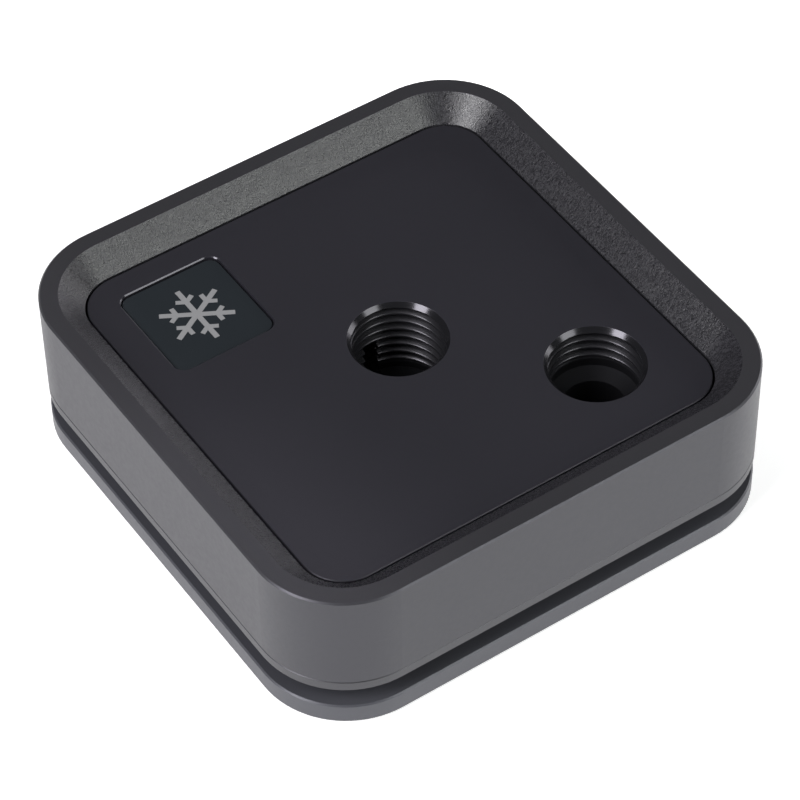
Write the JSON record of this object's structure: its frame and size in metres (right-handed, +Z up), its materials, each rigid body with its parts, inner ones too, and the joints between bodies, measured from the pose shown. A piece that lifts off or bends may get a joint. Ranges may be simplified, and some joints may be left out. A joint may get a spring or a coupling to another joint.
{
  "type": "liquid cooling cold plate",
  "caption": "Square cold plate block with rounded corners, threaded coolant ports in a recessed top face, a bracket groove round the base and a flat contact face below.",
  "frame": {"origin": "centre of the contact face, on the underside", "axes": "+Z up out of the ports, X and Y square to the sides; the outlet port lies towards +X -Y and the badge plate towards -X +Y"},
  "size_m": [0.07, 0.07, 0.022],
  "materials": {
    "cover_finish": "satin",
    "badge": "gloss",
    "adhesive": "matte",
    "body": "satin",
    "soft_seal": "matte",
    "base_plate": "satin",
    "screws": "satin"
  },
  "bodies": {
    "root": {"top_cover": "cover_finish", "badge_plate": "badge", "badge_adhesive": "adhesive", "port_body": "body", "flow_gasket": "soft_seal", "main_seal": "soft_seal", "cold_plate": "base_plate", "plate_screws": "screws", "cover_screws": "screws"}
  },
  "joints": []
}
